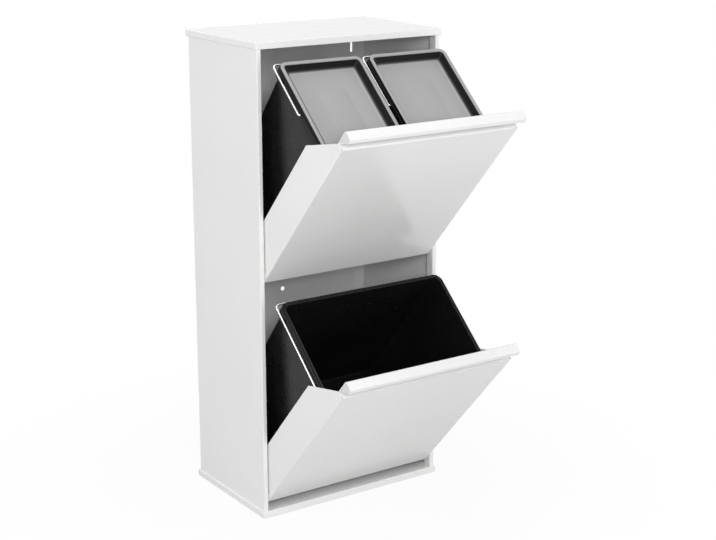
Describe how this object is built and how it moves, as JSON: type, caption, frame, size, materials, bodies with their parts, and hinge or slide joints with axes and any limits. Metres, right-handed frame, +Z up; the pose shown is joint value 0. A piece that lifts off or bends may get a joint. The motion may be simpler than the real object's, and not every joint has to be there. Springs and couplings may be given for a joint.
{
  "type": "recycling bin cabinet",
  "caption": "Free-standing white steel recycling cabinet with tilt-out flaps that carry lift-out plastic bins, lidded above and open below, each with a folding wire bail.",
  "frame": {"origin": "on the floor, under the middle of the cabinet's base", "axes": "+Z up, +X to the right as seen from the front, +Y to the back; the flaps open towards -Y"},
  "size_m": [0.406, 0.5265, 0.9],
  "materials": {
    "white_coat": "gloss white powder coat",
    "flap_coat": "gloss white powder coat",
    "bracket_coat": "white powder coat",
    "cap_white": "moulded white plastic",
    "zinc": "bright zinc plate",
    "nylon": "natural nylon",
    "buffer_rubber": "black rubber",
    "bin_black": "moulded black plastic, fine grain",
    "lid_grey": "moulded grey plastic, satin",
    "bright_wire": "bright drawn steel wire"
  },
  "bodies": {
    "cabinet": {"base_panel": "white_coat", "floor_glides": "nylon", "left_side_panel": "white_coat", "right_side_panel": "white_coat", "back_panel": "white_coat", "back_rivets": "zinc", "base_screws": "zinc", "top_panel": "white_coat", "top_screws": "zinc", "lower_pivot_pins": "zinc", "lower_pivot_clips": "zinc", "lower_rest_brackets": "bracket_coat", "lower_rest_buffers": "buffer_rubber", "upper_pivot_pins": "zinc", "upper_pivot_clips": "zinc", "upper_rest_brackets": "bracket_coat", "upper_rest_buffers": "buffer_rubber"},
    "lower_flap": {"lower_flap_front": "flap_coat", "lower_flap_handle": "flap_coat", "lower_handle_caps": "cap_white", "lower_flap_tray": "flap_coat", "lower_tray_rivets": "zinc", "lower_pivot_bushes": "nylon", "lower_stop_sleeves": "nylon", "lower_stop_rivets": "zinc"},
    "upper_flap": {"upper_flap_front": "flap_coat", "upper_flap_handle": "flap_coat", "upper_handle_caps": "cap_white", "upper_flap_tray": "flap_coat", "upper_tray_rivets": "zinc", "upper_pivot_bushes": "nylon", "upper_stop_sleeves": "nylon", "upper_stop_rivets": "zinc"},
    "lower_bin": {"lower_bin": "bin_black"},
    "lower_bail": {"lower_bail": "bright_wire"},
    "upper_left_bin": {"upper_left_bin": "bin_black"},
    "upper_left_lid": {"upper_left_lid": "lid_grey"},
    "upper_left_bail": {"upper_left_bail": "bright_wire"},
    "upper_right_bin": {"upper_right_bin": "bin_black"},
    "upper_right_lid": {"upper_right_lid": "lid_grey"},
    "upper_right_bail": {"upper_right_bail": "bright_wire"}
  },
  "joints": [
    {"name": "lower_flap_tilt", "type": "hinge", "parent": "cabinet", "child": "lower_flap", "pos_m": [0, -0.117, 0.0425], "axis": [1, 0, 0], "range_deg": [-42, 0]},
    {"name": "upper_flap_tilt", "type": "hinge", "parent": "cabinet", "child": "upper_flap", "pos_m": [0, -0.117, 0.47425], "axis": [1, 0, 0], "range_deg": [-42, 0]},
    {"name": "lower_bin_lift", "type": "slide", "parent": "lower_flap", "child": "lower_bin", "axis": [0, -0.6691, 0.7431], "range_m": [0, 0.4]},
    {"name": "lower_bail_swing", "type": "hinge", "parent": "lower_bin", "child": "lower_bail", "pos_m": [0, -0.28846, 0.30391], "axis": [1, 0, 0], "range_deg": [0, 110]},
    {"name": "upper_left_bin_lift", "type": "slide", "parent": "upper_flap", "child": "upper_left_bin", "axis": [0, -0.6691, 0.7431], "range_m": [0, 0.4]},
    {"name": "upper_left_lid_lift", "type": "slide", "parent": "upper_left_bin", "child": "upper_left_lid", "axis": [0, -0.6691, 0.7431], "range_m": [0, 0.05]},
    {"name": "upper_left_bail_swing", "type": "hinge", "parent": "upper_left_bin", "child": "upper_left_bail", "pos_m": [-0.09425, -0.23856, 0.78598], "axis": [1, 0, 0], "range_deg": [0, 180]},
    {"name": "upper_right_bin_lift", "type": "slide", "parent": "upper_flap", "child": "upper_right_bin", "axis": [0, -0.6691, 0.7431], "range_m": [0, 0.4]},
    {"name": "upper_right_lid_lift", "type": "slide", "parent": "upper_right_bin", "child": "upper_right_lid", "axis": [0, -0.6691, 0.7431], "range_m": [0, 0.05]},
    {"name": "upper_right_bail_swing", "type": "hinge", "parent": "upper_right_bin", "child": "upper_right_bail", "pos_m": [0.09425, -0.23856, 0.78598], "axis": [1, 0, 0], "range_deg": [0, 180]}
  ]
}
